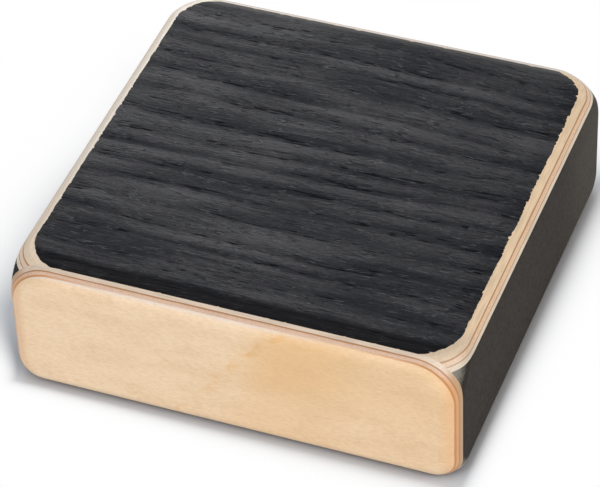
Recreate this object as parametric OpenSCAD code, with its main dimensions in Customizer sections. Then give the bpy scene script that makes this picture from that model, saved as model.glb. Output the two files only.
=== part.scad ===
// Wooden shaker: a flat square block of thin plywood sheets on two dark side rails, with loose grains in it.
// Its chamber is long from front to rear and short from side to side, so it sounds different each way.
// The origin is the middle of the underside. +X runs along the front edge, +Y to the rear and +Z up.

/* [Block] */
// Width of the block along its front edge
block_w = 100; // [86:1:140]
// Depth of the block from its front face to its rear face
block_d = 100; // [80:1:140]
// Height of the block
block_h = 33; // [28:0.5:50]
// Radius of the rounded edges
edge_r = 4; // [3:0.1:5]
// Length of edge, from each upper corner, over which the corner is sanded round
upper_reach = 10.5; // [8:0.1:13]
// Length of edge, from each lower corner, over which the corner is sanded round
lower_reach = 6.5; // [6:0.1:13]

/* [Sheets] */
// Thickness of an oak veneer, outermost on the top and bottom sheets
veneer_t = 0.25; // [0.2:0.05:0.6]
// Thickness of one birch ply of the top and bottom sheets
plate_ply_t = 0.95; // [0.7:0.05:1.3]
// Thickness of the outer birch ply of the front and rear sheets
panel_outer_t = 1.2; // [0.9:0.05:1.6]
// Thickness of the core ply of the front and rear sheets
panel_core_t = 0.8; // [0.6:0.05:1.2]
// Thickness of the inner birch ply of the front and rear sheets
panel_inner_t = 1; // [0.7:0.05:1.4]

/* [Rails] */
// Width of each side rail
rail_w = 24; // [12:0.5:26]

/* [Grains] */
// Diameter of one grain
grain_d = 4; // [3:0.1:5]
// Gap between neighbouring grains
grain_gap = 0.3; // [0.2:0.05:0.6]
// Gap between the grains and the floor and walls of the chamber
chamber_gap = 0.3; // [0.2:0.05:0.6]
// Width of the heap of grains, which a whole number of columns fills
heap_w = 18; // [14:0.5:22]
// Length of the heap of grains, which a whole number of rows fills
heap_l = 31; // [20:0.5:40]

/* [Hidden] */
$fn = 64;

// Depths below the top or bottom face at which the layers of those sheets meet
outer_ply_depth = veneer_t;
core_ply_depth = outer_ply_depth + plate_ply_t;
inner_ply_depth = core_ply_depth + plate_ply_t;
plate_t = inner_ply_depth + plate_ply_t;

// Depths behind the front or rear face at which the layers of those sheets meet
core_panel_depth = panel_outer_t;
inner_panel_depth = core_panel_depth + panel_core_t;
panel_t = inner_panel_depth + panel_inner_t;

// The rails and the top and bottom sheets reach from one end sheet to the other
tube_d = block_d - 2 * panel_t;

// The chamber that the sheets and rails close in
chamber_w = block_w - 2 * rail_w;
chamber_d = tube_d;

// A corner is a ball centred at its reach from all three faces and just large enough to meet the rounded edges.
// It runs out into each face along a ring, with the radius of the edges, and stays a hair inside that ring.
ball_relief = 0.001;
function corner_ball_r(reach) = reach * sqrt(2) - edge_r * (sqrt(2) - 1) - ball_relief;
function corner_ring_r(reach) = reach - edge_r;

// Room by which a cutting shape stands outside the block
cut_margin = 1;

// Spacing of the grains, and the rise from one layer to the next, where each grain sits over four others
grain_pitch = grain_d + grain_gap;
layer_rise = grain_pitch / sqrt(2);
floor_grain_z = plate_t + chamber_gap + grain_d / 2;

// Grains in the spread row, and columns and rows in the base of the heap
spread_count = floor((chamber_d - 2 * chamber_gap + grain_gap) / grain_pitch);
heap_columns = floor((heap_w + grain_gap) / grain_pitch);
heap_rows = floor((heap_l + grain_gap) / grain_pitch);

// The spread row and the heap lie side by side, in the middle of the chamber
first_column_x = -heap_columns / 2 * grain_pitch;

oak_black = [0.16, 0.16, 0.17];
birch_pale = [0.91, 0.79, 0.63];
birch_tan = [0.80, 0.64, 0.50];
rail_dark = [0.27, 0.25, 0.24];
shot_grey = [0.62, 0.63, 0.65];

// A rectangle, centred, with round corners
module rounded_rectangle(w, h, r) {
    square([w - 2 * r, h], center = true);
    square([w, h - 2 * r], center = true);
    for (x = [-1, 1], y = [-1, 1])
        translate([x * (w / 2 - r), y * (h / 2 - r)]) circle(r);
}

// Half of the outline of a corner ball, flat where it meets a face and rounded out into that face
module ball_profile(reach) {
    ball_r = corner_ball_r(reach);
    ring_r = corner_ring_r(reach);
    ball_tangent = ball_r / sqrt(2);
    outside = reach + cut_margin;
    difference() {
        intersection() {
            circle(ball_r);
            translate([0, -reach]) square(2 * reach);
        }
        difference() {
            polygon([[ring_r, ring_r], [ring_r, outside], [outside, outside], [ball_tangent, ball_tangent]]);
            translate([ring_r, ring_r]) circle(edge_r);
        }
    }
}

// A corner ball with its flat face turned up
module flattened_ball(reach) {
    rotate_extrude() ball_profile(reach);
}

// The outermost corner of the block, with the centre of its ball at the origin
module corner_form(reach) {
    intersection() {
        cube(reach);
        flattened_ball(reach);
        rotate([-90, 0, 0]) flattened_ball(reach);
        rotate([0, 90, 0]) flattened_ball(reach);
    }
}

// The block, rounded along every edge, and with the corners of its upper or lower side sanded over one reach
module rounded_block(reach, upper) {
    between_w = block_w - 2 * reach;
    between_d = block_d - 2 * reach;
    between_h = block_h - 2 * reach;
    translate([0, 0, block_h / 2]) {
        linear_extrude(between_h, center = true)
            rounded_rectangle(block_w, block_d, edge_r);
        rotate([90, 0, 0]) linear_extrude(between_d, center = true)
            rounded_rectangle(block_w, block_h, edge_r);
        rotate([90, 0, 90]) linear_extrude(between_w, center = true)
            rounded_rectangle(block_d, block_h, edge_r);
        for (x = [0, 1], y = [0, 1])
            mirror([x, 0, 0]) mirror([0, y, 0]) mirror([0, 0, upper ? 0 : 1])
                translate([between_w, between_d, between_h] / 2) corner_form(reach);
    }
}

// The piece of the block that a box from one corner to the other holds, in each half that the box reaches
module block_piece(low, high) {
    middle = block_h / 2;
    if (low[2] < middle)
        intersection() {
            rounded_block(lower_reach, false);
            translate(low) cube([high[0], high[1], min(high[2], middle)] - low);
        }
    if (high[2] > middle)
        intersection() {
            rounded_block(upper_reach, true);
            translate([low[0], low[1], max(low[2], middle)])
                cube(high - [low[0], low[1], max(low[2], middle)]);
        }
}

// A layer of the bottom sheet between two depths, counted upwards from the underside
module bottom_layer(from, to) {
    block_piece([-block_w / 2 - cut_margin, -tube_d / 2, from == 0 ? -cut_margin : from],
                [block_w / 2 + cut_margin, tube_d / 2, to]);
}

// A layer of the top sheet between two depths, counted downwards from the top face
module top_layer(from, to) {
    block_piece([-block_w / 2 - cut_margin, -tube_d / 2, block_h - to],
                [block_w / 2 + cut_margin, tube_d / 2, block_h + (from == 0 ? cut_margin : -from)]);
}

// A layer of the front sheet between two depths, counted from the front face
module front_layer(from, to) {
    block_piece([-block_w / 2 - cut_margin, -block_d / 2 + (from == 0 ? -cut_margin : from), -cut_margin],
                [block_w / 2 + cut_margin, -block_d / 2 + to, block_h + cut_margin]);
}

// A layer of the rear sheet between two depths, counted from the rear face
module rear_layer(from, to) {
    mirror([0, 1, 0]) front_layer(from, to);
}

// The right-hand side rail, between the top and bottom sheets
module side_rail() {
    block_piece([block_w / 2 - rail_w, -tube_d / 2, plate_t],
                [block_w / 2 + cut_margin, tube_d / 2, block_h - plate_t]);
}

module grain(x, y, z) {
    translate([x, y, z]) sphere(d = grain_d);
}

module top_oak_veneer() { color(oak_black) top_layer(0, outer_ply_depth); }
module top_outer_ply() { color(birch_pale) top_layer(outer_ply_depth, core_ply_depth); }
module top_core_ply() { color(birch_tan) top_layer(core_ply_depth, inner_ply_depth); }
module top_inner_ply() { color(birch_pale) top_layer(inner_ply_depth, plate_t); }

module bottom_oak_veneer() { color(oak_black) bottom_layer(0, outer_ply_depth); }
module bottom_outer_ply() { color(birch_pale) bottom_layer(outer_ply_depth, core_ply_depth); }
module bottom_core_ply() { color(birch_tan) bottom_layer(core_ply_depth, inner_ply_depth); }
module bottom_inner_ply() { color(birch_pale) bottom_layer(inner_ply_depth, plate_t); }

module front_outer_ply() { color(birch_pale) front_layer(0, core_panel_depth); }
module front_core_ply() { color(birch_tan) front_layer(core_panel_depth, inner_panel_depth); }
module front_inner_ply() { color(birch_pale) front_layer(inner_panel_depth, panel_t); }

module rear_outer_ply() { color(birch_pale) rear_layer(0, core_panel_depth); }
module rear_core_ply() { color(birch_tan) rear_layer(core_panel_depth, inner_panel_depth); }
module rear_inner_ply() { color(birch_pale) rear_layer(inner_panel_depth, panel_t); }

module left_rail() { color(rail_dark) mirror([1, 0, 0]) side_rail(); }
module right_rail() { color(rail_dark) side_rail(); }

// Grains spread in one row along the whole chamber, which can only run from side to side
module spread_grains() {
    color(shot_grey)
        for (row = [0 : spread_count - 1])
            grain(first_column_x, (row - (spread_count - 1) / 2) * grain_pitch, floor_grain_z);
}

// One layer of the heap beside that row, a column and a row smaller than the layer below it
module heap_layer(layer) {
    for (column = [0 : heap_columns - 1 - layer], row = [0 : heap_rows - 1 - layer])
        grain(first_column_x + (column + 1 + layer / 2) * grain_pitch,
              (row + layer / 2 - (heap_rows - 1) / 2) * grain_pitch,
              floor_grain_z + layer * layer_rise);
}

// The base of the heap, which can run from front to rear
module heap_base_grains() { color(shot_grey) heap_layer(0); }

// The top of the heap, which can also hop
module heap_top_grains() { color(shot_grey) heap_layer(1); }

top_oak_veneer();
top_outer_ply();
top_core_ply();
top_inner_ply();
bottom_oak_veneer();
bottom_outer_ply();
bottom_core_ply();
bottom_inner_ply();
front_outer_ply();
front_core_ply();
front_inner_ply();
rear_outer_ply();
rear_core_ply();
rear_inner_ply();
left_rail();
right_rail();
spread_grains();
heap_base_grains();
heap_top_grains();
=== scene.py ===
import math

import bpy
import numpy as np
from mathutils import Matrix, Vector


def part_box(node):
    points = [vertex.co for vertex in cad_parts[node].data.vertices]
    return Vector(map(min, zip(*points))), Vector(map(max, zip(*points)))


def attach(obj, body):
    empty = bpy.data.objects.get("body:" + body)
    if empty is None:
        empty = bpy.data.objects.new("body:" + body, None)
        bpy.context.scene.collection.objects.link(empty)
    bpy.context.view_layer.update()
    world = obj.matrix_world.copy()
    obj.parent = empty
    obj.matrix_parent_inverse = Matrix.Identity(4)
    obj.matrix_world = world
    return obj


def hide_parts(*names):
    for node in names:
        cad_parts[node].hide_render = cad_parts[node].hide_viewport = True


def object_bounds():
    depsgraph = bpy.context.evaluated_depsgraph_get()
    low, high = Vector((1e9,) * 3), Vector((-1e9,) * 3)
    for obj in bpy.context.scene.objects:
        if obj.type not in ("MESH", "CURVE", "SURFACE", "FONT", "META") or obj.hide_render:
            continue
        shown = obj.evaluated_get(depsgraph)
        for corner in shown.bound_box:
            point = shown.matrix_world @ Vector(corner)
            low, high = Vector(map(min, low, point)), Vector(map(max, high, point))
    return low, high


# A flat wooden shaker: black brushed oak on its top and underside, birch over its ends, dark side rails.
# Wood is described in millimetres, and Blender's own places and sizes are in metres.
# The top and bottom sheets are called plates here, and the front and rear sheets are called panels.
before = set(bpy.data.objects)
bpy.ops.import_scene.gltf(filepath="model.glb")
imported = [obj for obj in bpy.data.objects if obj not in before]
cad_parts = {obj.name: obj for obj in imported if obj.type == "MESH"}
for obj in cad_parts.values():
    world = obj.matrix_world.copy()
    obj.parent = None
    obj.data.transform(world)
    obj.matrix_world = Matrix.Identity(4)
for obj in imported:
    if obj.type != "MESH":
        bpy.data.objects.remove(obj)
cad_low, cad_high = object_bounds()

MM = 0.001

# Half the width and depth of the block, and its height
HALF_W = cad_high.x / MM
HALF_D = cad_high.y / MM
HEIGHT = cad_high.z / MM

# Radius of the sanded edges and reach of the lower corners, the same as in the solids
EDGE_R = 4.0
LOWER_REACH = 6.5

# The upper veneer is sanded off a little further round its corners and along its left side
FRONT_VENEER_REACH = 12.1
REAR_VENEER_REACH = 11.4
LEFT_SANDED_OFF = 0.35

# Both veneers are torn more along their right side than along their left
RIGHT_RAGGED = 1.6

# The oak veneer reaches from one panel to the other, over the birch ply below it
VENEER_T = (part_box("top_oak_veneer")[1].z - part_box("top_oak_veneer")[0].z) / MM
VENEER_HALF_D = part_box("top_oak_veneer")[1].y / MM
VENEER_LEAST_T = 0.012

# Depths below the nearer face at which the plies of a sheet meet
PLATE_OUTER_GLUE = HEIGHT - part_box("top_core_ply")[1].z / MM
PLATE_INNER_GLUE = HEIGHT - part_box("top_core_ply")[0].z / MM
PANEL_OUTER_GLUE = HALF_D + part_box("front_core_ply")[0].y / MM
PANEL_INNER_GLUE = HALF_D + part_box("front_core_ply")[1].y / MM

# Colours as they look on a screen, from 0 to 255
OAK_RIDGE = (68, 68, 70)
OAK_VALLEY = (9, 11, 19)
# Also the colour of the painted shade along the oak's front end
OAK_PORE_AND_SHADE = (4, 4, 6)
# Painted sheen along the oak's rear end
OAK_SHEEN = (112, 110, 108)
# Painted highlight beside the oak's cracks
OAK_LIP_HIGHLIGHT = (108, 109, 112)
BIRCH_FACE = (243, 216, 182)
BIRCH_FLECK = (214, 172, 126)
BIRCH_FLAME = (234, 189, 130)
PLATE_OUTER = (240, 210, 173)
PLATE_CORE = (234, 195, 157)
PLATE_INNER = (228, 206, 180)
PANEL_CORE = (222, 186, 160)
PANEL_INNER = (231, 210, 188)
CORE_END_GRAIN = (212, 150, 94)
INNER_END_GRAIN = (178, 136, 92)
FACE_END_GRAIN = (222, 164, 108)
# Painted highlight along the upper edge of the birch face
FACE_RIM_HIGHLIGHT = (220, 206, 196)
REAR_PALE = (234, 230, 226)
# Painted reflection along the left side of the plates
LEFT_REFLECTION = (230, 218, 203)
CORNER_DULL = (184, 172, 158)
GLUE_BROWN = (174, 126, 86)
GLUE_AMBER = (192, 132, 76)
GLUE_FAINT = (174, 134, 100)
RAIL_DARK = (50, 45, 40)
RAIL_SPECK = (37, 33, 29)
# Painted sheen and highlight on the rails
RAIL_SHEEN = (136, 131, 120)
STEEL = (196, 197, 200)
FLOOR_COLOUR = (233, 238, 245)
BLACK = (0, 0, 0)

# Colours of light, as a shader takes them. The dyed oak shines a little blue.
WHITE_LIGHT = (1.0, 1.0, 1.0, 1.0)
OAK_SHINE = (0.93, 0.95, 1.0, 1.0)

# Camera, which looks at a point in the block from in front, from the right and from above
VIEW_POINT = Vector((-0.49, -7.05, 16.5)) * MM
VIEW_AZIMUTH = math.radians(22.46)
VIEW_ELEVATION = math.radians(42.2)
VIEW_ROLL = math.radians(-2.67)
VIEW_DISTANCE = 699.3 * MM
LENS = 194.9
SENSOR = 36.0


def linear(colour):
    """A screen colour as the linear red, green, blue and alpha that a shader takes, by the sRGB curve."""
    shares = [part / 255 for part in colour]
    return (*[s / 12.92 if s <= 0.04045 else ((s + 0.055) / 1.055) ** 2.4 for s in shares], 1.0)


def darkened(colour, share):
    return [part * share for part in colour]


class Nodes:
    """The nodes of a material or of the world, and short ways to add to them."""

    def __init__(self, tree):
        self.tree = tree

    def put(self, socket, value):
        """Gives a socket a value, or the output of another node."""
        if isinstance(value, bpy.types.NodeSocket):
            self.tree.links.new(value, socket)
        else:
            socket.default_value = value

    def add(self, kind, inputs, **settings):
        """A new node with those settings, and with values or other nodes at its inputs."""
        node = self.tree.nodes.new(kind)
        for name, value in settings.items():
            setattr(node, name, value)
        for name, value in inputs.items():
            self.put(node.inputs[name], value)
        return node

    def maths(self, operation, first, second=0.0):
        return self.add("ShaderNodeMath", {0: first, 1: second}, operation=operation).outputs[0]

    def plus(self, first, second):
        return self.maths("ADD", first, second)

    def minus(self, first, second):
        return self.maths("SUBTRACT", first, second)

    def times(self, first, second):
        return self.maths("MULTIPLY", first, second)

    def absolute(self, value):
        """A value without its sign."""
        return self.maths("ABSOLUTE", value)

    def attribute(self, name):
        return self.add("ShaderNodeAttribute", {}, attribute_name=name).outputs["Fac"]

    def noise(self, point, size, shift=0.0, detail=2.0, roughness=0.5):
        """Noise from 0 to 1, whose grains have that size along X, Y and Z. Its shift keeps it from being
        like another noise."""
        mapping = {"Vector": point, "Scale": [1 / s for s in size], "Location": [shift] * 3}
        scaled = self.add("ShaderNodeMapping", mapping).outputs["Vector"]
        inputs = {"Vector": scaled, "Scale": 1.0, "Detail": detail, "Roughness": roughness}
        return self.add("ShaderNodeTexNoise", inputs).outputs["Fac"]

    def ramp(self, value, low, high, to_low=0.0, to_high=1.0):
        """A smooth step from one value to another, as the input goes from low to high."""
        inputs = {"Value": value, "From Min": low, "From Max": high, "To Min": to_low, "To Max": to_high}
        return self.add("ShaderNodeMapRange", inputs, interpolation_type="SMOOTHSTEP").outputs["Result"]

    def mix(self, share, first, second):
        """Two colours mixed, by the share of the second."""
        node = self.add("ShaderNodeMix", {}, data_type="RGBA")
        # The node takes its two colours at inputs 6 and 7, and gives their mix at output 2
        self.put(node.inputs[0], share)
        self.put(node.inputs[6], first if isinstance(first, bpy.types.NodeSocket) else linear(first))
        self.put(node.inputs[7], second if isinstance(second, bpy.types.NodeSocket) else linear(second))
        return node.outputs[2]

    def bump(self, height, depth, before=None):
        """A normal that is tilted by a height from 0 to 1, which stands for that depth in millimetres."""
        inputs = {"Height": height, "Distance": depth * MM, "Strength": 1.0}
        if before is not None:
            inputs["Normal"] = before
        return self.add("ShaderNodeBump", inputs).outputs["Normal"]

    def seen_ray(self):
        """1 for a ray that shows what it meets, directly, mirrored or through glass, and 0 for others."""
        path = self.add("ShaderNodeLightPath", {}).outputs
        seen = self.maths("MAXIMUM", path["Is Camera Ray"], path["Is Glossy Ray"])
        return self.maths("MAXIMUM", seen, path["Is Transmission Ray"])


class Finish(Nodes):
    """One material. It knows each point of its piece in millimetres, whole and along each axis."""

    def __init__(self, name):
        self.material = bpy.data.materials.new(name)
        self.material.use_nodes = True
        self.surface = self.material.node_tree.nodes["Principled BSDF"]
        super().__init__(self.material.node_tree)
        place = self.add("ShaderNodeTexCoord", {}).outputs["Object"]
        scaled = self.add("ShaderNodeVectorMath", {0: place, "Scale": 1 / MM}, operation="SCALE")
        self.point = scaled.outputs["Vector"]
        self.axes = self.add("ShaderNodeSeparateXYZ", {"Vector": self.point}).outputs

    def look(self, **inputs):
        """Sets inputs of the surface, named as there but with _ for a space, and returns the material."""
        for name, value in inputs.items():
            self.put(self.surface.inputs[name.replace("_", " ")], value)
        return self.material


def smooth(share):
    share = np.clip(share, 0.0, 1.0)
    return share * share * (3 - 2 * share)


def step(value, low, high):
    """A smooth step from 0 to 1, as the value goes from low to high."""
    return smooth((value - low) / (high - low))


def lattice_noise(seed, u, v):
    """Smooth noise from 0 to 1 over two coordinates, with a random value at each whole number."""
    first_u = math.floor(u.min())
    first_v = math.floor(v.min())
    cells = (math.floor(u.max()) - first_u + 2, math.floor(v.max()) - first_v + 2)
    values = np.random.default_rng(seed).random(cells)
    cell_u = np.floor(u).astype(int)
    cell_v = np.floor(v).astype(int)
    share_u = smooth(u - cell_u)
    share_v = smooth(v - cell_v)
    cell_u = cell_u - first_u
    cell_v = cell_v - first_v
    low = values[cell_u, cell_v] * (1 - share_u) + values[cell_u + 1, cell_v] * share_u
    high = values[cell_u, cell_v + 1] * (1 - share_u) + values[cell_u + 1, cell_v + 1] * share_u
    return low * (1 - share_v) + high * share_v


def grain_noise(seed, along, across, size):
    """Noise whose grains have that size along the oak's grain and across it."""
    return lattice_noise(seed, along / size[0], across / size[1])


def line_noise(seed, place, width):
    """Noise along one line, whose grains have that width."""
    return lattice_noise(seed, place / width, np.zeros_like(place))


# Width of a growth ring, and depths that brushing has left in it, between fibres and in open pores
RING_WIDTH = 5.8
RING_DEPTH = 0.12
STREAK_DEPTH = 0.045
PORE_DEPTH = 0.1

# How far the grain wanders to either side, slowly and quickly, and how far a ring drifts, in rings
SLOW_WANDER = 3.0
QUICK_WANDER = 0.9
RING_DRIFT = 0.7

# Sizes of all these, along the grain and across it. A ring fades along the grain only.
SLOW_WANDER_SIZE = (46, 24)
QUICK_WANDER_SIZE = (13, 6)
RING_DRIFT_SIZE = (80, 7)
RING_FADE_LENGTH = 45
BUNDLE_SIZE = (26, 1.1)
FIBRE_SIZE = (8, 0.5)
PORE_SIZE = (3.4, 0.3)
CLUSTER_SIZE = (16, 2.6)

# The ridge of a ring rises and falls, and its early wood lies at both ends, all in shares of the ring
RIDGE_RISE = (0.0, 0.32)
RIDGE_FALL = (0.42, 1.0)
EARLY_WOOD = (0.06, 0.28)

# A pore opens where its noise passes these values. Early wood and clusters each add to its chance.
PORE_OPENS = (0.85, 0.93)
PORE_CHANCE = 0.2

# Least strength of a ring, share of the bundles in the streaks, how much ridges and streaks count as
# raised, and how much painted highlight a pore's rim gets
RING_LEAST = 0.3
BUNDLE_SHARE = 0.4
RAISED_RIDGE = 0.5
RAISED_STREAK = 0.45
PORE_RIM_HIGHLIGHT = 0.35


def oak_relief(seed, x, y):
    """Brushed oak with its grain along X: each point's depth below the tops of the ridges, how raised it
    is, with a painted highlight on the rims of its pores, and how open it is, from 0 to 1, and its place
    across the flow of the grain."""
    wander = SLOW_WANDER * (grain_noise(seed, x, y, SLOW_WANDER_SIZE) - 0.5)
    wander = wander + QUICK_WANDER * (grain_noise(seed + 1, x, y, QUICK_WANDER_SIZE) - 0.5)
    across = wander - y
    ring = across / RING_WIDTH + RING_DRIFT * grain_noise(seed + 2, x, across, RING_DRIFT_SIZE)
    number = np.floor(ring)
    phase = ring - number
    strength = RING_LEAST + (1 - RING_LEAST) * lattice_noise(seed + 3, x / RING_FADE_LENGTH, number)
    ridge = strength * step(phase, *RIDGE_RISE) * (1 - step(phase, *RIDGE_FALL))
    bundles = grain_noise(seed + 4, x, across, BUNDLE_SIZE)
    fibres = grain_noise(seed + 5, x, across, FIBRE_SIZE)
    streak = BUNDLE_SHARE * bundles + (1 - BUNDLE_SHARE) * fibres
    early_wood = 1 - step(np.minimum(phase, 1 - phase), *EARLY_WOOD)
    clusters = grain_noise(seed + 7, x, across, CLUSTER_SIZE)
    chance = PORE_CHANCE * early_wood + PORE_CHANCE * clusters - PORE_CHANCE
    pore = step(grain_noise(seed + 6, x, across, PORE_SIZE) + chance, *PORE_OPENS)
    # A painted highlight on the rim of each pore, which lightens the oak's colour there
    pore_rim_highlight = pore * (1 - pore)
    depth = RING_DEPTH * (1 - ridge) + STREAK_DEPTH * (1 - streak) + PORE_DEPTH * pore
    raised_and_highlit = RAISED_RIDGE * ridge + RAISED_STREAK * streak + PORE_RIM_HIGHLIGHT * pore_rim_highlight
    return depth, raised_and_highlit, pore, across


def sanded_depth(reach, x, y):
    """How far the block's rounded edges and corners lie below its flat face, at points of that face."""
    past_x = np.maximum(np.abs(x) - (HALF_W - reach), 0)
    past_y = np.maximum(np.abs(y) - (HALF_D - reach), 0)
    inset = reach - np.hypot(past_x, past_y)
    into_edge = np.clip(EDGE_R - inset, 0, EDGE_R)
    return EDGE_R - np.sqrt(EDGE_R**2 - into_edge**2)


def veneer_half_width(reach, y):
    """Half the width of the veneer along its grain, where the sanded edge runs out through it."""
    inset = EDGE_R - math.sqrt(EDGE_R**2 - (EDGE_R - VENEER_T) ** 2)
    past_y = np.maximum(np.abs(y) - (HALF_D - reach), 0)
    return HALF_W - reach + np.sqrt((reach - inset) ** 2 - past_y**2)


# The veneer's sides end in ragged fibres, chips and slow waves: how wide each is, and how deep it goes
FIBRE_END_WIDTH, FIBRE_END_DEPTH = 0.45, 0.12
SIDE_CHIP_WIDTH, SIDE_CHIP_DEPTH = 0.6, 0.22
SIDE_WAVE_WIDTH, SIDE_WAVE_DEPTH = 2.2, 0.18

# Along the panels there are only chips, which pull back the grain near them too
END_CHIP_WIDTH, END_CHIP_DEPTH = 1.3, 0.3
END_CHIP_REACH = 2.0

# A chip breaks off where its noise passes these values
SIDE_CHIP_BREAKS = (0.8, 0.97)
END_CHIP_BREAKS = (0.75, 0.95)

# A side that slants away round a corner is torn deeper, up to this slope
STEEPEST_SLANT = 4

# A fold that is sharper than this stays an edge
SHARP_ANGLE = math.radians(50)


def ragged_retreat(seed, y):
    """How far the ends of the fibres are chipped back from the sanded edge."""
    fibres = FIBRE_END_DEPTH * line_noise(seed, y, FIBRE_END_WIDTH)
    chips = SIDE_CHIP_DEPTH * step(line_noise(seed + 1, y, SIDE_CHIP_WIDTH), *SIDE_CHIP_BREAKS)
    waves = SIDE_WAVE_DEPTH * line_noise(seed + 2, y, SIDE_WAVE_WIDTH)
    return fibres + chips + waves


def veneer_sides(seed, line_y, reach, left_off):
    """Where the two torn sides of the veneer lie, for each line along the grain."""
    half_width = veneer_half_width(reach, line_y)
    slant = 1 + np.minimum(np.abs(np.gradient(half_width, line_y)), STEEPEST_SLANT)
    left = left_off - half_width + slant * ragged_retreat(seed + 10, line_y)
    right = half_width - RIGHT_RAGGED * slant * ragged_retreat(seed + 20, line_y)
    return left, right


def end_chips(seed, x):
    """How far the veneer is chipped back from a panel."""
    return END_CHIP_DEPTH * step(line_noise(seed, x, END_CHIP_WIDTH), *END_CHIP_BREAKS)


def chipped_ends(seed, x, y):
    """The places of the grain from front to rear, with the chips along both panels."""
    from_end = VENEER_HALF_D - np.abs(y)
    chips = np.where(y < 0, end_chips(seed + 30, x), -end_chips(seed + 40, x))
    return y + chips * np.clip(1 - from_end / END_CHIP_REACH, 0, 1)


def sheet_mesh(name, x, y, depth, underside):
    """A closed sheet: a front at those depths below the block's face, a flat back and a rim between."""
    rows, columns = x.shape
    grid = np.arange(rows * columns).reshape(rows, columns)
    rim = np.concatenate([grid[0, :], grid[1:, -1], grid[-1, -2::-1], grid[-2:0:-1, 0]])
    front = np.stack([x, y, depth], axis=-1).reshape(-1, 3)
    back = front[rim].copy()
    back[:, 2] = VENEER_T
    points = np.concatenate([front, back])
    points[:, 2] = points[:, 2] if underside else HEIGHT - points[:, 2]
    corners = [grid[:-1, :-1], grid[:-1, 1:], grid[1:, 1:], grid[1:, :-1]]
    quads = np.stack(corners, axis=-1).reshape(-1, 4)
    below = np.arange(len(rim)) + len(front)
    skirt = np.stack([rim, below, np.roll(below, -1), np.roll(rim, -1)], axis=-1)
    faces = quads.tolist() + skirt.tolist() + [below[::-1].tolist()]
    if underside:
        faces = [face[::-1] for face in faces]
    mesh = bpy.data.meshes.new(name)
    mesh.from_pydata((points * MM).tolist(), [], faces)
    mesh.shade_smooth()
    mesh.set_sharp_from_angle(angle=SHARP_ANGLE)
    return mesh


def keep_values(mesh, attribute, values):
    """Keeps a value at each point of a sheet's face, and 0 at the points of its back."""
    kept = np.zeros(len(mesh.vertices), np.float32)
    kept[:values.size] = values.ravel()
    layer = mesh.attributes.new(attribute, "FLOAT", "POINT")
    layer.data.foreach_set("value", kept)


def brushed_veneer(name, seed, row_step, column_step, underside):
    """A sheet of brushed oak, which fits the sanded block and is ragged where it is sanded through."""
    rows = round(2 * VENEER_HALF_D / row_step) + 1
    columns = round(2 * HALF_W / column_step) + 1
    line_y = np.linspace(-VENEER_HALF_D, VENEER_HALF_D, rows)
    if underside:
        reach = np.full(rows, LOWER_REACH)
        left_off = 0.0
    else:
        reach = np.where(line_y < 0, FRONT_VENEER_REACH, REAR_VENEER_REACH)
        left_off = LEFT_SANDED_OFF
    left, right = veneer_sides(seed, line_y, reach, left_off)
    along = np.linspace(0, 1, columns)
    x = left[:, None] + (right - left)[:, None] * along[None, :]
    y = chipped_ends(seed, x, np.repeat(line_y[:, None], columns, axis=1))
    relief, raised_and_highlit, pore, across = oak_relief(seed, x, y)
    depth = sanded_depth(reach[:, None], x, y) + relief
    depth = np.minimum(depth, VENEER_T - VENEER_LEAST_T)
    mesh = sheet_mesh(name, x, y, depth, underside)
    keep_values(mesh, "raised_and_highlit", raised_and_highlit)
    keep_values(mesh, "pore", pore)
    keep_values(mesh, "across", across)
    piece = bpy.data.objects.new(name, mesh)
    bpy.context.scene.collection.objects.link(piece)
    return piece


# Noise lies mostly between the first of these values, and nearly always between the second
MID_NOISE = (0.3, 0.7)
WIDE_NOISE = (0.25, 0.75)

# Sizes of the grains in the dyed oak, along the flow of its grain and across it. The flow is flat, so the
# third size has no effect.
OAK_FIBRE_GRAIN = (2.4, 0.4, 1.0)
OAK_SHADE_GRAIN = (26.0, 6.0, 1.0)
OAK_SPECK_GRAIN = (0.7, 0.35, 1.0)
OAK_VEIN_GRAIN = (7.0, 0.7, 1.0)
OAK_TORN_GRAIN = (4.0, 1.6, 1.0)

# How much the first three of them lighten the oak beside its relief, and the sums for dark and light oak
FIBRE_WEIGHT = 1.7
SHADE_WEIGHT = 1.3
SPECK_WEIGHT = 0.6
OAK_LIGHT = (1.75, 3.05)

# A crack follows the middle value of the vein noise, and a painted highlight runs beside it on its lip.
# Both show only where the wood is torn.
TORN_WOOD = (0.46, 0.58)
CRACK_WIDTH = 0.04
LIP_PLACE = 0.065
LIP_WIDTH = 0.035
LIP_HIGHLIGHT_SHARE = 0.4

# Depth of the fibres, and depth of a crack as a share of that
OAK_FIBRE_DEPTH = 0.12
CRACK_DEPTH = 0.7

# How open a pore has to be to look dark, how much rougher it is, and how rough low and high oak is
PORE_DARK = (0.3, 1.0)
PORE_ROUGHER = 0.25
OAK_ROUGH = (0.4, 1.4, 0.6, 0.33)

# The oak falls off softly towards its edges: from how far inside the face, to which slope, and how slowly
# it bends
FRONT_SOFTNESS = (7.9, 0.3, 0.5)
REAR_SOFTNESS = (9.0, 0.45, 3.0)
SIDE_SOFTNESS = (7.5, 0.4, 6.0)

# Painted shade along the oak's front end, and a painted sheen along its rear end
FRONT_SHADE = 0.95
FRONT_SHADE_REACH = 7.6
FRONT_SHADE_BLEND = 1.3
REAR_SHEEN = 0.6
REAR_SHEEN_REACH = 1.8


def soft_edge(finish, from_edge, softness):
    """How far the oak lies below its flat part, near one edge of the block."""
    reach, slope, bend = softness
    past = finish.maths("MAXIMUM", finish.minus(reach, from_edge), 0.0)
    bent = finish.maths("DIVIDE", past, finish.plus(past, bend))
    return finish.times(finish.times(past, bent), slope)


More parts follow.
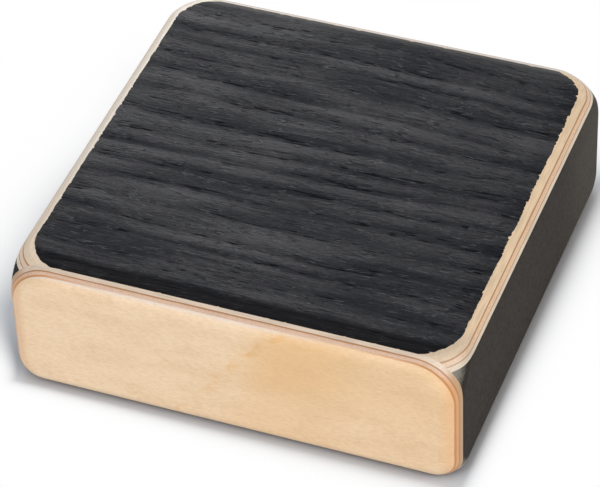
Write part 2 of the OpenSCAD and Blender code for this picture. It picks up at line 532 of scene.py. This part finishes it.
def oak_drop(finish, from_front):
    """How far the oak lies below its flat part, near all edges of the block."""
    from_rear = finish.minus(HALF_D, finish.axes["Y"])
    from_side = finish.minus(HALF_W, finish.absolute(finish.axes["X"]))
    front = soft_edge(finish, from_front, FRONT_SOFTNESS)
    rear = soft_edge(finish, from_rear, REAR_SOFTNESS)
    side = soft_edge(finish, from_side, SIDE_SOFTNESS)
    return finish.plus(finish.plus(front, rear), side)


def oak_cracks(finish, flow):
    """Fine cracks along the grain and the painted highlights on the lips beside them, each from 0 to 1.
    """
    vein = finish.minus(finish.noise(flow, OAK_VEIN_GRAIN, shift=5.9), 0.5)
    torn = finish.ramp(finish.noise(flow, OAK_TORN_GRAIN, shift=9.3), *TORN_WOOD)
    crack = finish.ramp(finish.absolute(vein), 0.0, CRACK_WIDTH, 1.0, 0.0)
    from_lip = finish.absolute(finish.minus(vein, LIP_PLACE))
    lip_highlight = finish.ramp(from_lip, 0.0, LIP_WIDTH, 1.0, 0.0)
    return finish.times(crack, torn), finish.times(lip_highlight, torn)


def black_oak():
    """Oak that is dyed black and brushed, so that its ridges shine a little and its pores stay dark."""
    finish = Finish("black_oak")
    raised_and_highlit = finish.attribute("raised_and_highlit")
    pore = finish.attribute("pore")
    places = {"X": finish.axes["X"], "Y": finish.attribute("across")}
    flow = finish.add("ShaderNodeCombineXYZ", places).outputs["Vector"]
    fibre = finish.noise(flow, OAK_FIBRE_GRAIN, shift=3.1, detail=4.0, roughness=0.7)
    shade = finish.noise(flow, OAK_SHADE_GRAIN, shift=7.7, detail=1.0)
    speck = finish.noise(flow, OAK_SPECK_GRAIN, shift=1.9)
    crack, lip_highlight = oak_cracks(finish, flow)
    texture = finish.plus(finish.times(fibre, FIBRE_WEIGHT), finish.times(shade, SHADE_WEIGHT))
    texture = finish.plus(texture, finish.times(speck, SPECK_WEIGHT))
    # The rims of the pores carry a painted highlight in this lightness
    light = finish.ramp(finish.plus(raised_and_highlit, texture), *OAK_LIGHT)
    hollow = finish.maths("MAXIMUM", finish.ramp(pore, *PORE_DARK), crack)
    from_front = finish.plus(finish.axes["Y"], HALF_D)
    # Painted shade along the front end, where the oak falls away from the light
    dark = finish.ramp(from_front, FRONT_SHADE_REACH, FRONT_SHADE_REACH - FRONT_SHADE_BLEND, 0.0, FRONT_SHADE)
    # Painted sheen along the rear end, where the oak's rounded end faces the light
    rear_sheen_from = VENEER_HALF_D - REAR_SHEEN_REACH
    rear_sheen = finish.ramp(finish.axes["Y"], rear_sheen_from, VENEER_HALF_D, 0.0, REAR_SHEEN)
    colour = finish.mix(light, OAK_VALLEY, OAK_RIDGE)
    # Painted highlight along the lips beside the cracks
    colour = finish.mix(finish.times(lip_highlight, LIP_HIGHLIGHT_SHARE), colour, OAK_LIP_HIGHLIGHT)
    colour = finish.mix(hollow, colour, OAK_PORE_AND_SHADE)
    # Painted shade along the front end
    colour = finish.mix(dark, colour, OAK_PORE_AND_SHADE)
    # Painted sheen along the rear end
    colour = finish.mix(rear_sheen, colour, OAK_SHEEN)
    rough = finish.ramp(finish.plus(raised_and_highlit, shade), *OAK_ROUGH)
    rough = finish.plus(rough, finish.times(pore, PORE_ROUGHER))
    height = finish.minus(fibre, finish.times(crack, CRACK_DEPTH))
    fall = finish.bump(finish.times(oak_drop(finish, from_front), -1.0), 1.0)
    normal = finish.bump(height, OAK_FIBRE_DEPTH, fall)
    finish.look(Specular_IOR_Level=0.1, Specular_Tint=OAK_SHINE)
    return finish.look(Base_Color=colour, Roughness=rough, Normal=normal)


# Glue lines of the sheets: how deep they lie, half their width and their colour
PLATE_OUTER_LINE = (PLATE_OUTER_GLUE, 0.12, GLUE_BROWN)
PLATE_INNER_LINE = (PLATE_INNER_GLUE, 0.1, GLUE_FAINT)
PANEL_OUTER_LINE = (PANEL_OUTER_GLUE, 0.18, GLUE_AMBER)
PANEL_INNER_LINE = (PANEL_INNER_GLUE, 0.14, GLUE_BROWN)

# The width of a glue line varies by this share, over these lengths, and its edges are soft
GLUE_WAVE = 0.25
GLUE_WAVE_GRAIN = (7.0, 7.0, 7.0)
GLUE_EDGE = (0.55, 1.3, 1.0, 0.0)

# Sizes of the grains in the birch plies, along X, Y and Z
PLY_CLOUD_GRAIN = (9.0, 9.0, 9.0)
PLATE_LONG_GRAIN = (0.5, 5.0, 0.3)
PLATE_CROSS_GRAIN = (0.5, 0.4, 0.3)
PANEL_LONG_GRAIN = (5.0, 0.3, 0.5)
PANEL_CROSS_GRAIN = (0.4, 0.3, 0.5)

# Streaks and clouds of a darker tone: over which values of the noise they set in, and the share at each
PLY_STREAKS = (0.35, 0.75, 0.0, 0.7)
PLY_CLOUDS = (0.4, 0.8, 0.0, 0.3)

# That tone as a share of a ply's own, the depth of the grain, and the roughness of its low and high parts
PLY_DARKER = 0.88
PLY_GRAIN_DEPTH = 0.02
PLY_ROUGH = (0.3, 0.42)

# How strongly the end grain at a panel's upright edges shows, in its inner plies and in its face
PLY_END_SHARE = 0.85
FACE_END_SHARE = 0.45

# Where the tones of the birch change and where it has painted light: from one place to another along an
# axis, and the share at each
GLUE_THIN_X = (25.0, 45.0, 0.15, 1.0)
END_GRAIN_X = (HALF_W - 5.0, HALF_W - 1.5, 0.0, 1.0)
REAR_PALE_Y = (0.0, 10.0, 0.0, 0.5)
FACE_RIM_HIGHLIGHT_DEPTH = (0.5, PANEL_OUTER_GLUE, 0.0, 0.8)
FACE_RIM_HIGHLIGHT_X = (5.0, 30.0, 1.0, 0.0)
FACE_RIM_HIGHLIGHT_Z = (HEIGHT - EDGE_R, HEIGHT - EDGE_R / 2, 0.0, 1.0)
LEFT_REFLECTION_X = (-44.0, -30.0, 1.0, 0.0)
LEFT_REFLECTION_Y = (-HALF_D, -10.0, 0.4, 0.9)
CORNER_DULL_X = (25.0, 40.0, 0.0, 1.0)
CORNER_DULL_Y = (-42.0, -34.0, 0.35, 0.0)


def plate_depth(finish):
    """Depth below the nearer of the top and bottom faces."""
    from_middle = finish.absolute(finish.minus(finish.axes["Z"], HEIGHT / 2))
    return finish.minus(HEIGHT / 2, from_middle)


def panel_depth(finish):
    """Depth behind the nearer of the front and rear faces."""
    return finish.minus(HALF_D, finish.absolute(finish.axes["Y"]))


def end_grain(finish):
    """How much the ends of a panel's fibres show: only at its two upright edges."""
    return finish.ramp(finish.absolute(finish.axes["X"]), *END_GRAIN_X)


def pale_rear(finish):
    """How much paler the rear panel is than the front one."""
    return finish.ramp(finish.axes["Y"], *REAR_PALE_Y)


def rim_highlight(finish):
    """How much painted highlight a panel's face has along its upper edge, mostly on its left half."""
    edge = finish.ramp(panel_depth(finish), *FACE_RIM_HIGHLIGHT_DEPTH)
    upper = finish.ramp(finish.axes["Z"], *FACE_RIM_HIGHLIGHT_Z)
    left = finish.ramp(finish.axes["X"], *FACE_RIM_HIGHLIGHT_X)
    return finish.times(finish.times(edge, upper), left)


def left_reflection(finish):
    """How much painted reflection the plates have along their left side, and less at the front."""
    side = finish.ramp(finish.axes["X"], *LEFT_REFLECTION_X)
    return finish.times(side, finish.ramp(finish.axes["Y"], *LEFT_REFLECTION_Y))


def dull_corner(finish):
    """How much duller the plates are at their front right corner."""
    right = finish.ramp(finish.axes["X"], *CORNER_DULL_X)
    return finish.times(right, finish.ramp(finish.axes["Y"], *CORNER_DULL_Y))


def glued(finish, colour, depth, line, shift):
    """A ply's colour with a line of glue on it, which thins out here and there. The outer glue of a panel
    shows fully at the sides, and little along the middle."""
    at, half_width, tone = line
    off = finish.absolute(finish.minus(depth, at))
    wave = finish.noise(finish.point, GLUE_WAVE_GRAIN, shift=shift)
    least = half_width * (1 - GLUE_WAVE)
    most = half_width * (1 + GLUE_WAVE)
    reach = finish.ramp(wave, *WIDE_NOISE, least, most)
    share = finish.ramp(finish.maths("DIVIDE", off, reach), *GLUE_EDGE)
    if line is PANEL_OUTER_LINE:
        share = finish.times(share, finish.ramp(finish.absolute(finish.axes["X"]), *GLUE_THIN_X))
    return finish.mix(share, colour, tone)


def ply_grain(finish, colour, size, shift):
    """The streaks of grain in one birch ply, and its colour with them and with soft clouds."""
    grain = finish.noise(finish.point, size, shift=shift, detail=3.0)
    cloud = finish.noise(finish.point, PLY_CLOUD_GRAIN, shift=shift + 5)
    share = finish.plus(finish.ramp(grain, *PLY_STREAKS), finish.ramp(cloud, *PLY_CLOUDS))
    return grain, finish.mix(share, colour, darkened(colour, PLY_DARKER))


def ply_look(finish, colour, grain):
    """The sheen of a sanded ply, with its grain in fine relief."""
    rough = finish.ramp(grain, *MID_NOISE, *PLY_ROUGH)
    normal = finish.bump(grain, PLY_GRAIN_DEPTH)
    return finish.look(Base_Color=colour, Roughness=rough, Normal=normal, Specular_IOR_Level=0.5)


def plate_ply(name, colour, grain_size, glue_lines, shift):
    """The edge of one birch ply of the plates, with its glue lines."""
    finish = Finish(name)
    depth = plate_depth(finish)
    grain, base = ply_grain(finish, colour, grain_size, shift)
    # Painted reflection along the left side of the plates
    base = finish.mix(left_reflection(finish), base, LEFT_REFLECTION)
    base = finish.mix(dull_corner(finish), base, CORNER_DULL)
    for number, line in enumerate(glue_lines):
        base = glued(finish, base, depth, line, shift + number)
    return ply_look(finish, base, grain)


def panel_ply(name, colour, end_tone, grain_size, glue_lines, shift):
    """The edge of one inner ply of the panels, with the ends of its fibres and its glue lines."""
    finish = Finish(name)
    depth = panel_depth(finish)
    grain, base = ply_grain(finish, colour, grain_size, shift)
    base = finish.mix(finish.times(end_grain(finish), PLY_END_SHARE), base, end_tone)
    base = finish.mix(pale_rear(finish), base, REAR_PALE)
    for number, line in enumerate(glue_lines):
        base = glued(finish, base, depth, line, shift + number)
    return ply_look(finish, base, grain)


# Sizes of the grains in the birch face, along X, Y and Z
FLECK_GRAIN = (1.3, 0.4, 0.36)
FACE_CLOUD_GRAIN = (14.0, 14.0, 5.0)
FLAME_WAVE_GRAIN = (9.0, 9.0, 5.0)
FLAME_TORN_GRAIN = (5.0, 5.0, 4.0)

# Its flecks and clouds: over which values of the noise they set in, and the share at each
FACE_FLECKS = (0.3, 0.8, 0.0, 0.55)
FACE_CLOUDS = (0.35, 0.75, 0.0, 0.25)
FLECK_DEPTH = 0.012
FACE_ROUGH = (0.3, 0.4)

# The flame leans to the right as it goes up, and its sides wander. It sets in and fades along X, and is
# fainter at its foot.
FLAME_LEAN = 0.3
FLAME_WANDER = 9.0
FLAME_RISE = (-5.0, 10.0)
FLAME_FALL = (12.0, 32.0, 0.8, 0.45)
FLAME_FOOT = (8.0, 22.0, 0.45, 1.0)

# A torn line leans more. It starts this far left of the middle, and crosses the flame's left side.
LINE_LEAN = 0.86
LINE_LEFT = 11.0
LINE_WIDTH = (0.3, 1.8, 1.0, 0.0)
LINE_TORN = (0.4, 0.65, 0.0, 0.7)


def across_lean(finish, lean, wander):
    """Place across a line on the panels' faces that leans to the right as it goes up, and wanders."""
    upright = finish.minus(finish.axes["X"], finish.times(finish.axes["Z"], lean))
    return finish.plus(upright, wander)


def birch_flame(finish):
    """How much of the warmer wood shows on the panels' faces."""
    wave = finish.noise(finish.point, FLAME_WAVE_GRAIN, shift=4.2, detail=3.0)
    wander = finish.times(wave, FLAME_WANDER)
    across = across_lean(finish, FLAME_LEAN, wander)
    flame = finish.times(finish.ramp(across, *FLAME_RISE), finish.ramp(across, *FLAME_FALL))
    flame = finish.times(flame, finish.ramp(finish.axes["Z"], *FLAME_FOOT))
    off_line = finish.absolute(finish.plus(across_lean(finish, LINE_LEAN, wander), LINE_LEFT))
    torn = finish.noise(finish.point, FLAME_TORN_GRAIN, shift=6.6, detail=3.0)
    line = finish.times(finish.ramp(off_line, *LINE_WIDTH), finish.ramp(torn, *LINE_TORN))
    return finish.plus(flame, line)


def birch_face():
    """The pale face of the panels: fine streaks along X, and a flame of warmer wood that crosses it."""
    finish = Finish("birch_face")
    fleck = finish.noise(finish.point, FLECK_GRAIN, shift=1.3, detail=4.0, roughness=0.75)
    cloud = finish.noise(finish.point, FACE_CLOUD_GRAIN, shift=8.8, detail=3.0)
    share = finish.plus(finish.ramp(fleck, *FACE_FLECKS), finish.ramp(cloud, *FACE_CLOUDS))
    colour = finish.mix(birch_flame(finish), BIRCH_FACE, BIRCH_FLAME)
    colour = finish.mix(share, colour, BIRCH_FLECK)
    colour = finish.mix(finish.times(end_grain(finish), FACE_END_SHARE), colour, FACE_END_GRAIN)
    # Painted highlight along the upper edge of the face
    colour = finish.mix(rim_highlight(finish), colour, FACE_RIM_HIGHLIGHT)
    colour = finish.mix(pale_rear(finish), colour, REAR_PALE)
    colour = glued(finish, colour, panel_depth(finish), PANEL_OUTER_LINE, 2.0)
    rough = finish.ramp(fleck, *MID_NOISE, *FACE_ROUGH)
    normal = finish.bump(fleck, FLECK_DEPTH)
    return finish.look(Base_Color=colour, Roughness=rough, Normal=normal, Specular_IOR_Level=0.45)


# Sizes of the grains in the rails, along X, Y and Z
RAIL_SPECK_GRAIN = (0.5, 0.9, 0.5)
RAIL_CLOUD_GRAIN = (12.0, 20.0, 8.0)

# Their specks and clouds: over which values of the noise they set in, and the share at each
RAIL_SPECKS = (0.45, 0.75, 0.0, 0.6)
RAIL_CLOUDS = (0.4, 0.8, 0.0, 0.4)
RAIL_SPECK_DEPTH = 0.02
RAIL_ROUGH = (0.72, 0.85)

# The rails have a little painted sheen towards the rear
RAIL_REAR_SHEEN_Y = (15.0, 45.0, 0.0, 0.14)

# The right rail has a painted highlight at its corners, where their rounding catches the light.
# How far it goes varies with the speckle.
RAIL_SHEEN_REACH = (8.0, 11.0, 0.9, 0.0)
RAIL_SHEEN_SPECK = 2.0
RIGHT_HALF_X = (-1.0, 1.0)


def dark_rail():
    """Even, matt, dark wood with a fine speckle. It has a painted sheen at the rear, and a painted
    highlight at the right rail's corners.
    """
    finish = Finish("dark_rail")
    speck = finish.noise(finish.point, RAIL_SPECK_GRAIN, shift=2.4, detail=3.0)
    cloud = finish.noise(finish.point, RAIL_CLOUD_GRAIN, shift=6.1)
    share = finish.plus(finish.ramp(speck, *RAIL_SPECKS), finish.ramp(cloud, *RAIL_CLOUDS))
    from_corner = finish.plus(panel_depth(finish), plate_depth(finish))
    from_corner = finish.plus(from_corner, finish.times(speck, RAIL_SHEEN_SPECK))
    right = finish.ramp(finish.axes["X"], *RIGHT_HALF_X)
    # Painted highlight at the right rail's corners
    corner_highlight = finish.times(finish.ramp(from_corner, *RAIL_SHEEN_REACH), right)
    colour = finish.mix(share, RAIL_DARK, RAIL_SPECK)
    # Painted sheen towards the rear
    colour = finish.mix(finish.ramp(finish.axes["Y"], *RAIL_REAR_SHEEN_Y), colour, RAIL_SHEEN)
    # Painted highlight at the right rail's corners
    colour = finish.mix(corner_highlight, colour, RAIL_SHEEN)
    rough = finish.ramp(speck, *MID_NOISE, *RAIL_ROUGH)
    normal = finish.bump(speck, RAIL_SPECK_DEPTH)
    return finish.look(Base_Color=colour, Roughness=rough, Normal=normal, Specular_IOR_Level=0.1)


# Size and depth of the scuffs on the steel balls, the noise over which they set in, and their tone as a
# share of the steel's
SCUFF_GRAIN = (0.6, 0.6, 0.6)
SCUFF_DEPTH = 0.01
SCUFFS = (0.4, 0.8)
SCUFF_DARKER = 0.8
STEEL_ROUGH = (0.22, 0.45)


def steel_shot():
    """Small steel balls, dulled by rolling on wood."""
    finish = Finish("steel_shot")
    scuff = finish.noise(finish.point, SCUFF_GRAIN, shift=5.5, detail=4.0)
    colour = finish.mix(finish.ramp(scuff, *SCUFFS), STEEL, darkened(STEEL, SCUFF_DARKER))
    rough = finish.ramp(scuff, *MID_NOISE, *STEEL_ROUGH)
    normal = finish.bump(scuff, SCUFF_DEPTH)
    return finish.look(Base_Color=colour, Roughness=rough, Normal=normal, Metallic=1.0)


def dress(node, material):
    """Gives a solid its finish."""
    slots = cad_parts[node].data.materials
    slots.clear()
    slots.append(material)


def dress_plates():
    """The birch plies of the top and bottom sheets."""
    outer = plate_ply("plate_outer_ply", PLATE_OUTER, PLATE_LONG_GRAIN,
                      [PLATE_OUTER_LINE], 1.0)
    core = plate_ply("plate_core_ply", PLATE_CORE, PLATE_CROSS_GRAIN,
                     [PLATE_OUTER_LINE, PLATE_INNER_LINE], 11.0)
    inner = plate_ply("plate_inner_ply", PLATE_INNER, PLATE_LONG_GRAIN,
                      [PLATE_INNER_LINE], 21.0)
    for sheet in ("top", "bottom"):
        dress(f"{sheet}_outer_ply", outer)
        dress(f"{sheet}_core_ply", core)
        dress(f"{sheet}_inner_ply", inner)


def dress_panels():
    """The birch plies of the front and rear sheets."""
    core = panel_ply("panel_core_ply", PANEL_CORE, CORE_END_GRAIN, PANEL_CROSS_GRAIN,
                     [PANEL_OUTER_LINE, PANEL_INNER_LINE], 31.0)
    inner = panel_ply("panel_inner_ply", PANEL_INNER, INNER_END_GRAIN, PANEL_LONG_GRAIN,
                      [PANEL_INNER_LINE], 41.0)
    face = birch_face()
    for sheet in ("front", "rear"):
        dress(f"{sheet}_outer_ply", face)
        dress(f"{sheet}_core_ply", core)
        dress(f"{sheet}_inner_ply", inner)


def dress_rails():
    rail = dark_rail()
    for side in ("left", "right"):
        dress(f"{side}_rail", rail)


def dress_grains():
    """The loose filling."""
    shot = steel_shot()
    for group in ("spread", "heap_base", "heap_top"):
        dress(f"{group}_grains", shot)


# Seed of each oak sheet's grain, and the spacing of its points across the grain and along it
OAK_SHEETS = {"top": (4, 0.13, 0.8), "bottom": (70, 0.35, 1.6)}


def dress_oak():
    """The two sheets of brushed veneer, which stand for the plain ones."""
    oak = black_oak()
    for sheet, (seed, row_step, column_step) in OAK_SHEETS.items():
        piece = brushed_veneer(f"{sheet}_brushed_oak", seed, row_step, column_step, sheet == "bottom")
        piece.data.materials.append(oak)
        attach(piece, "shell")
        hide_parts(f"{sheet}_oak_veneer")


# Half the width of the floor, in metres
FLOOR_REACH = 6.0

# The shadow beside the block fades to white over these lengths. They grow from left to right in front of
# the block, and from front to rear at its sides.
FRONT_FADE = (1.3, 2.3)
REAR_FADE = 10.0
RIGHT_FADE = (1.7, 3.2)
LEFT_FADE = (1.6, 6.5)
FADE_CURVE = 0.65

# Where the fade is longest on the right, and how far in front of the middle it starts and stops growing
# on the left
RIGHT_LONGEST_Y = 30.0
LEFT_GROWS = (HALF_D + 2.0, HALF_D - 22.0)

# On the left the shadow is full for this far, at the front, along the middle and at the rear
LEFT_FULL_FRONT = -0.5
LEFT_FULL_MIDDLE = 10.5
LEFT_FULL_REAR = 5.0
LEFT_REAR_Y = 40.0

# A painted contact shadow makes the floor darker close to the block.
# This sets in from just before the front face to behind it.
CONTACT_REACH = 10.0
CONTACT_GROWS = (HALF_D + 1.0, HALF_D - 8.0)
CONTACT_POWER = (0.3, 1.0)
CONTACT_SAMPLES = 8


def past_side(finish, from_middle, half_size, fade):
    """How far a place lies past one side of the block, in lengths of the shadow's fade there, squared."""
    share = finish.maths("DIVIDE", finish.minus(from_middle, half_size), fade)
    share = finish.maths("MAXIMUM", share, 0.0)
    return finish.times(share, share)


def open_floor(finish, to_front):
    """How far a place on the floor is out of the block's shadow: 0 beside the block, 1 in the open."""
    x = finish.axes["X"]
    y = finish.axes["Y"]
    to_left = finish.times(x, -1.0)
    left_full = finish.ramp(to_front, *LEFT_GROWS, LEFT_FULL_FRONT, LEFT_FULL_MIDDLE)
    less_full = finish.ramp(y, 0.0, LEFT_REAR_Y, 0.0, LEFT_FULL_MIDDLE - LEFT_FULL_REAR)
    past_full = finish.minus(to_left, finish.minus(left_full, less_full))
    left_fade = finish.ramp(to_front, *LEFT_GROWS, *LEFT_FADE)
    right_fade = finish.ramp(y, -HALF_D, RIGHT_LONGEST_Y, *RIGHT_FADE)
    front_fade = finish.ramp(x, -HALF_W, HALF_W, *FRONT_FADE)
    left = past_side(finish, past_full, HALF_W, left_fade)
    right = past_side(finish, x, HALF_W, right_fade)
    front = past_side(finish, to_front, HALF_D, front_fade)
    rear = past_side(finish, y, HALF_D, REAR_FADE)
    past = finish.plus(finish.plus(left, right), finish.plus(front, rear))
    faded = finish.maths("POWER", past, FADE_CURVE)
    shadow = finish.maths("EXPONENT", finish.times(faded, -1.0))
    return finish.minus(1.0, shadow)


def floor_paint():
    """Pale and matt. The camera sees it as white in the open, and with its shadow beside the block."""
    finish = Finish("studio_floor")
    to_front = finish.times(finish.axes["Y"], -1.0)
    distance = {"Distance": CONTACT_REACH * MM}
    near = finish.add("ShaderNodeAmbientOcclusion", distance, samples=CONTACT_SAMPLES)
    power = finish.ramp(to_front, *CONTACT_GROWS, *CONTACT_POWER)
    lit = finish.maths("POWER", near.outputs["AO"], power)
    white = finish.times(open_floor(finish, to_front), finish.seen_ray())
    # Painted contact shadow in the floor's colour close to the block
    colour = finish.mix(lit, BLACK, FLOOR_COLOUR)
    colour = finish.mix(white, colour, BLACK)
    finish.look(Base_Color=colour, Roughness=1.0, Specular_IOR_Level=0.0)
    return finish.look(Emission_Color=WHITE_LIGHT, Emission_Strength=white)


def studio_floor():
    mesh = bpy.data.meshes.new("studio_floor")
    corners = [(-FLOOR_REACH, -FLOOR_REACH, 0), (FLOOR_REACH, -FLOOR_REACH, 0),
               (FLOOR_REACH, FLOOR_REACH, 0), (-FLOOR_REACH, FLOOR_REACH, 0)]
    mesh.from_pydata(corners, [], [(0, 1, 2, 3)])
    mesh.materials.append(floor_paint())
    floor = bpy.data.objects.new("studio_floor", mesh)
    bpy.context.scene.collection.objects.link(floor)


# Strength of the even light on the object
WORLD_LEVEL = 0.25


def studio_world():
    """White for the camera, and a dimmer even light on the object."""
    world = bpy.data.worlds.new("studio_world")
    world.use_nodes = True
    nodes = Nodes(world.node_tree)
    sky = world.node_tree.nodes["Background"]
    sky.inputs["Color"].default_value = WHITE_LIGHT
    nodes.put(sky.inputs["Strength"], nodes.ramp(nodes.seen_ray(), 0.0, 1.0, WORLD_LEVEL, 1.0))
    bpy.context.scene.world = world


# Large soft lamps, turned to the middle of the block: place, width and height in metres, power in watts
SOFTBOXES = {
    "back_softbox": ((-0.12, 0.24, 0.2), 0.12, 0.08, 0.2),
    "low_softbox": ((-0.28, 0.4, 0.16), 0.3, 0.15, 0.35),
    "high_softbox": ((-0.34, -0.905, 0.71), 0.3, 0.3, 3.0),
    "front_softbox": ((-0.1, -1.1, 0.25), 0.9, 0.4, 3.15),
    "right_softbox": ((0.85, -0.25, 0.55), 0.8, 0.6, 6.0),
}


def studio_lamps():
    middle = Vector((0.0, 0.0, HEIGHT / 2 * MM))
    for name, (place, width, height, power) in SOFTBOXES.items():
        lamp = bpy.data.lights.new(name, "AREA")
        lamp.shape = "RECTANGLE"
        lamp.size = width
        lamp.size_y = height
        lamp.energy = power
        holder = bpy.data.objects.new(name, lamp)
        holder.location = place
        holder.rotation_euler = (middle - Vector(place)).to_track_quat("-Z", "Y").to_euler()
        bpy.context.scene.collection.objects.link(holder)


def photo_camera():
    """The camera, turned about the point that it looks at and rolled a little."""
    data = bpy.data.cameras.new("photo_camera")
    data.lens = LENS
    data.sensor_width = SENSOR
    camera = bpy.data.objects.new("photo_camera", data)
    back = Vector((math.sin(VIEW_AZIMUTH) * math.cos(VIEW_ELEVATION),
                   -math.cos(VIEW_AZIMUTH) * math.cos(VIEW_ELEVATION),
                   math.sin(VIEW_ELEVATION)))
    turn = (-back).to_track_quat("-Z", "Y").to_matrix() @ Matrix.Rotation(VIEW_ROLL, 3, "Z")
    camera.matrix_world = Matrix.Translation(VIEW_POINT + back * VIEW_DISTANCE) @ turn.to_4x4()
    bpy.context.scene.collection.objects.link(camera)
    bpy.context.scene.camera = camera


photo_camera()
dress_plates()
dress_panels()
dress_rails()
dress_grains()
dress_oak()
studio_floor()
studio_world()
studio_lamps()
bpy.context.scene.view_settings.view_transform = "Standard"
